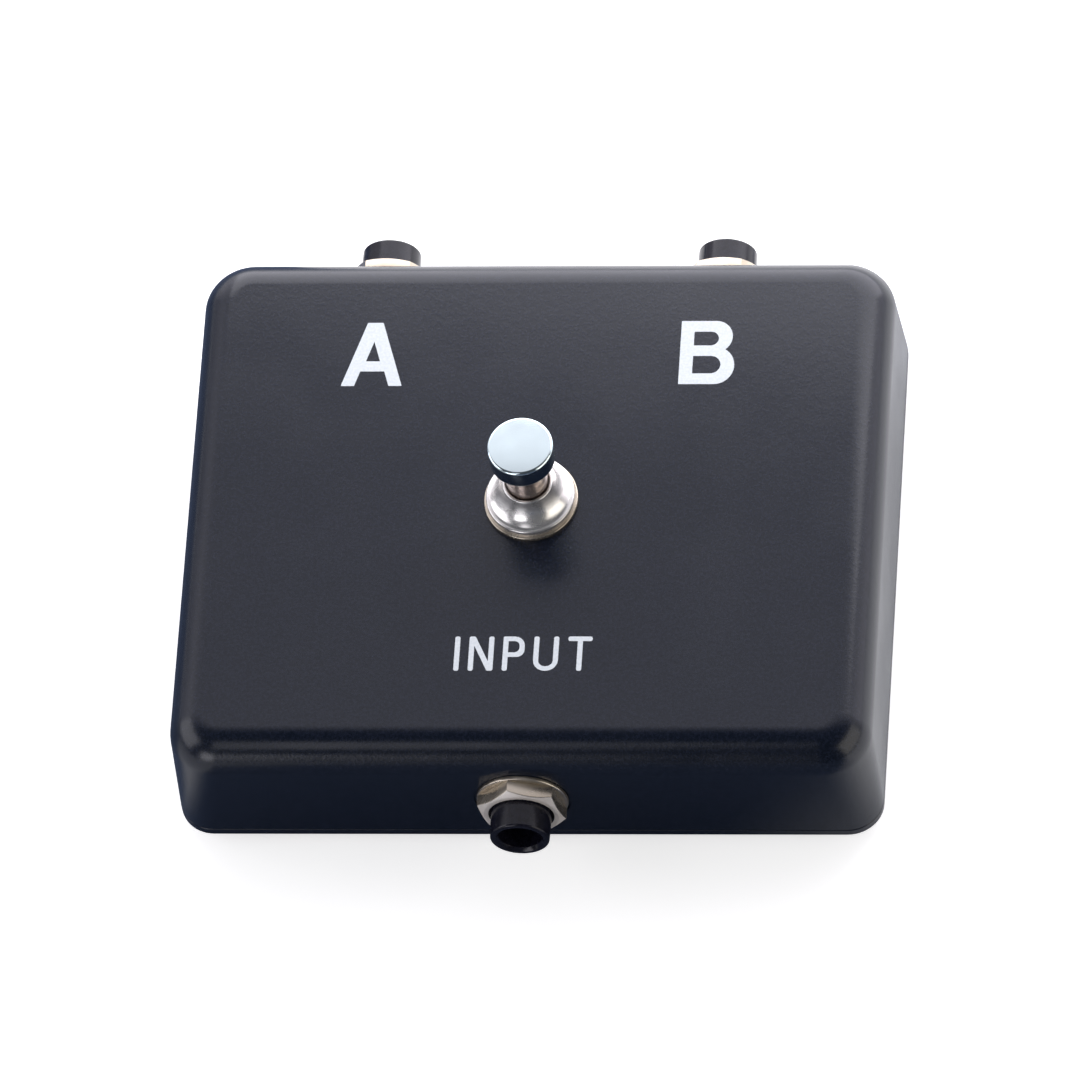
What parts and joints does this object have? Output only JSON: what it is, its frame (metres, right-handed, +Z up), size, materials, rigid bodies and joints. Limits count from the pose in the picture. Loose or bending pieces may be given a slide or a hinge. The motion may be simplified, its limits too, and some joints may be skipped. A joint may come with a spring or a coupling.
{
  "type": "foot operated signal selector box",
  "caption": "Small black foot switch box that routes a quarter-inch jack input to output A or output B, with a chrome push button on top.",
  "frame": {"origin": "on the floor under the middle of the case, level with the bottom of the feet", "axes": "+X to the right seen from the input jack's side, +Y towards the two output jacks, +Z up through the push button"},
  "size_m": [0.108, 0.1036, 0.0427],
  "materials": {
    "black_paint": "fine satin black powder coat with a blue-grey cast",
    "chrome": "polished chrome",
    "nickel": "bright nickel plate",
    "warm_nickel": "nickel plate, slightly yellow",
    "steel": "zinc-plated steel",
    "black_plastic": "moulded black plastic",
    "switch_plastic": "dark moulded resin",
    "board": "brown laminate board",
    "contact_brass": "tinned spring brass",
    "rubber": "moulded rubber",
    "wire_white": "white insulation",
    "wire_red": "red insulation",
    "wire_blue": "blue insulation",
    "wire_black": "black insulation"
  },
  "bodies": {
    "case": {"top_case": "black_paint", "bottom_plate": "black_paint", "cover_screws": "steel", "foot_front_left": "rubber", "foot_front_right": "rubber", "foot_rear_left": "rubber", "foot_rear_right": "rubber", "input_housing": "black_plastic", "input_washer": "warm_nickel", "input_nut": "warm_nickel", "input_tip_spring": "contact_brass", "input_sleeve_spring": "contact_brass", "output_a_housing": "black_plastic", "output_a_washer": "warm_nickel", "output_a_nut": "warm_nickel", "output_a_tip_spring": "contact_brass", "output_a_sleeve_spring": "contact_brass", "output_b_housing": "black_plastic", "output_b_washer": "warm_nickel", "output_b_nut": "warm_nickel", "output_b_tip_spring": "contact_brass", "output_b_sleeve_spring": "contact_brass", "dress_washer": "warm_nickel", "dress_collar": "chrome", "switch_bushing": "nickel", "switch_lock_washer": "steel", "switch_inner_nut": "nickel", "switch_frame": "steel", "switch_housing": "switch_plastic", "terminal_board": "board", "terminal_a": "contact_brass", "terminal_common": "contact_brass", "terminal_b": "contact_brass", "return_spring": "steel", "wire_input": "wire_white", "wire_a": "wire_red", "wire_b": "wire_blue", "wire_ground_a": "wire_black", "wire_ground_b": "wire_black"},
    "button": {"push_button": "chrome", "plunger_rod": "steel"},
    "rocker": {"rocker_carrier": "switch_plastic", "rocker_contact": "contact_brass"}
  },
  "joints": [
    {"name": "button_press", "type": "slide", "parent": "case", "child": "button", "axis": [0, 0, -1], "range_m": [0, 0.0024], "stiffness_N_per_m": 1500, "springref_m": -0.0018, "deforming": ["return_spring"]},
    {"name": "rocker_flip", "type": "hinge", "parent": "case", "child": "rocker", "pos_m": [0, 0.0003, 0.01196], "axis": [0, 1, 0], "range_deg": [0, 20]}
  ]
}
